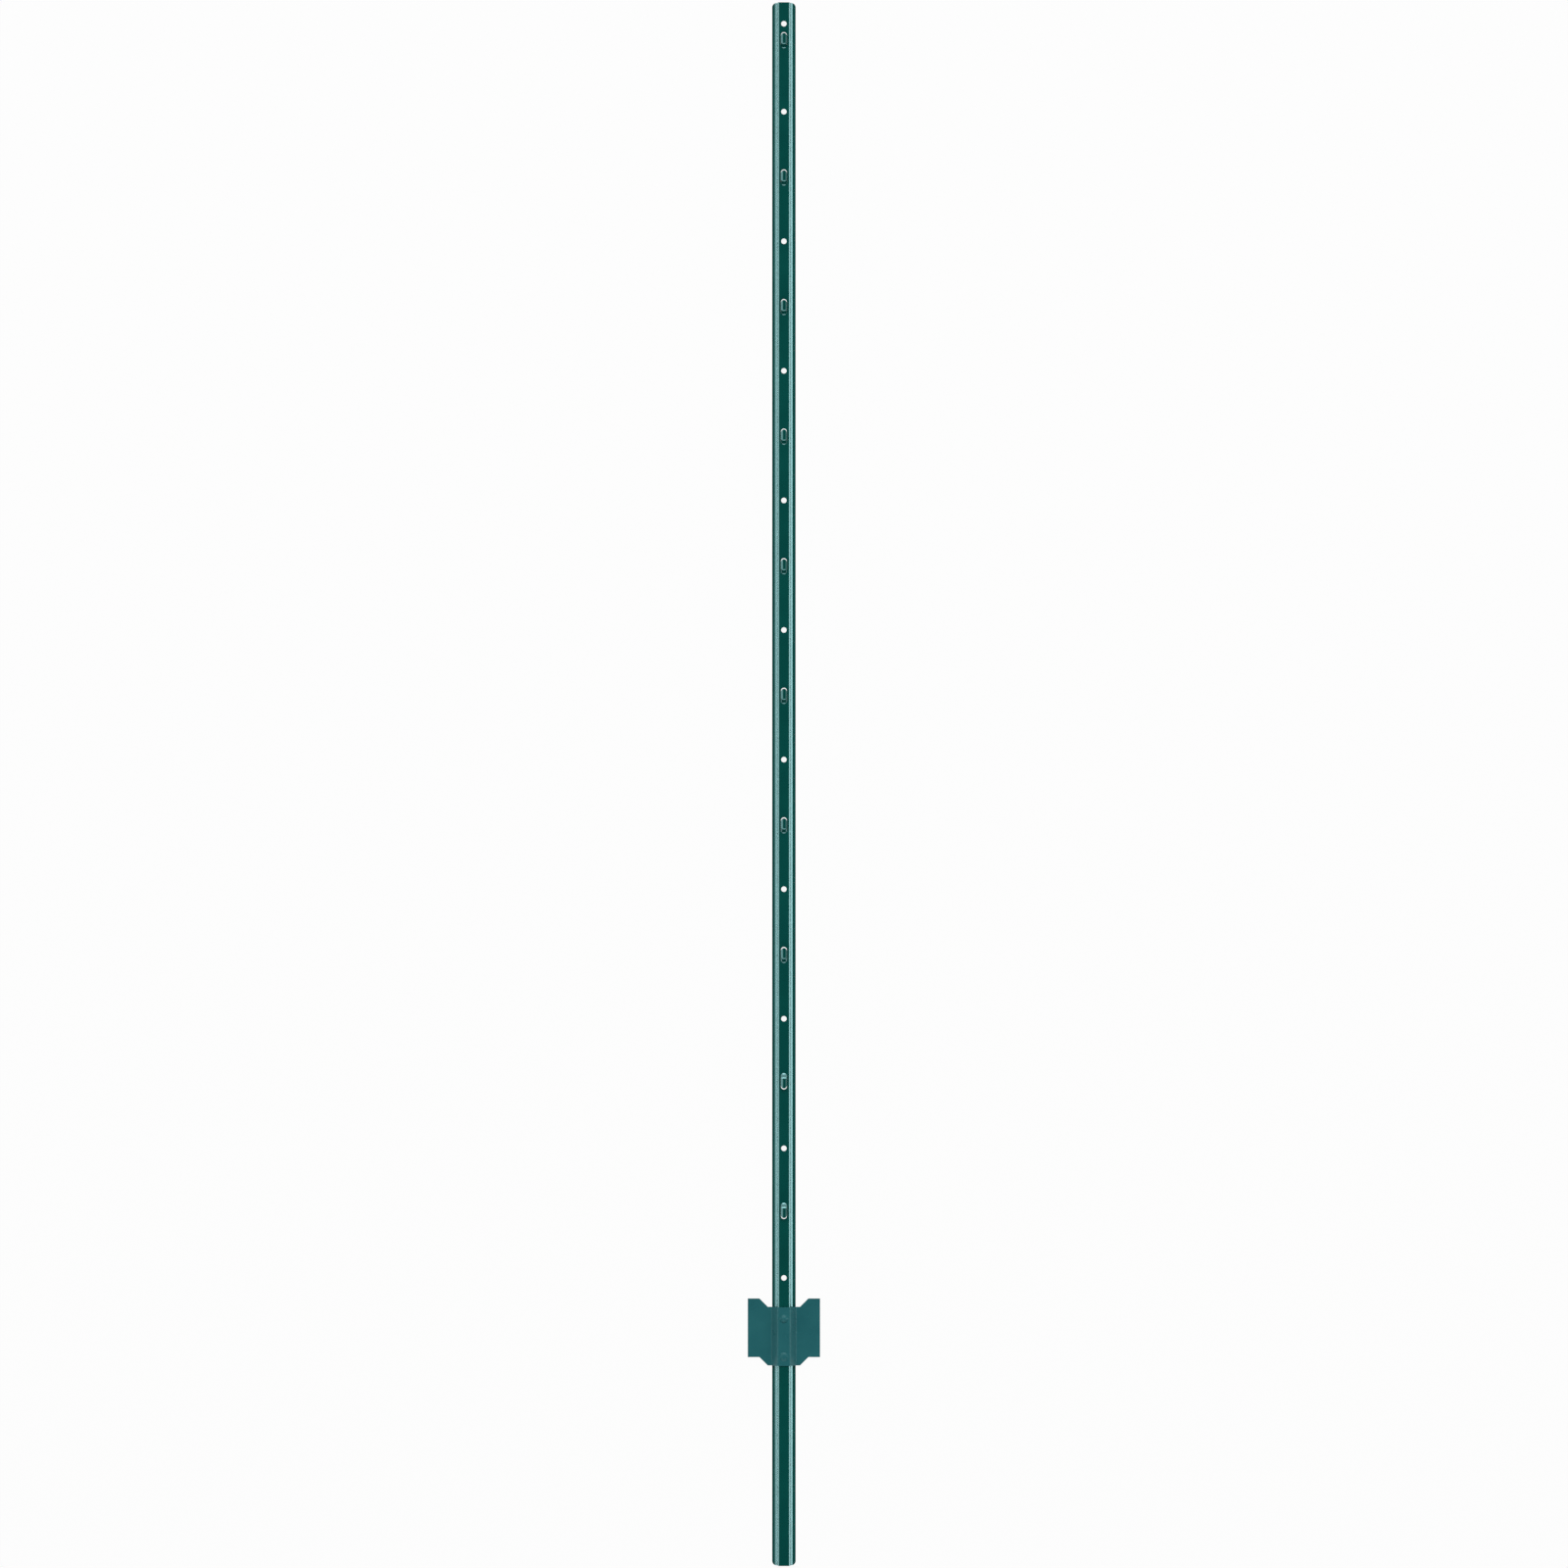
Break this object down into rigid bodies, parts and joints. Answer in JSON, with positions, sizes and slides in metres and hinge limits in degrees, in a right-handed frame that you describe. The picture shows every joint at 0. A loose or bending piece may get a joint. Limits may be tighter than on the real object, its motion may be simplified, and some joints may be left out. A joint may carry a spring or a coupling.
{
  "type": "steel channel fence post",
  "caption": "Light channel fence post with wire lugs and round holes in its web and a riveted winged anchor plate, for holding fence wire or mesh.",
  "frame": {"origin": "halfway along the post, under the middle of its web, in the plane of the lips' backs", "axes": "+X across the post to its right with the top end ahead, +Y along the post towards its top end, +Z out of the web's face"},
  "size_m": [0.0986, 2.1336, 0.0188],
  "materials": {
    "post_paint": "satin",
    "plate_paint": "satin",
    "rivet_paint": "satin"
  },
  "bodies": {
    "root": {"post_channel": "post_paint", "anchor_plate": "plate_paint", "upper_rivet": "rivet_paint", "lower_rivet": "rivet_paint"}
  },
  "joints": []
}
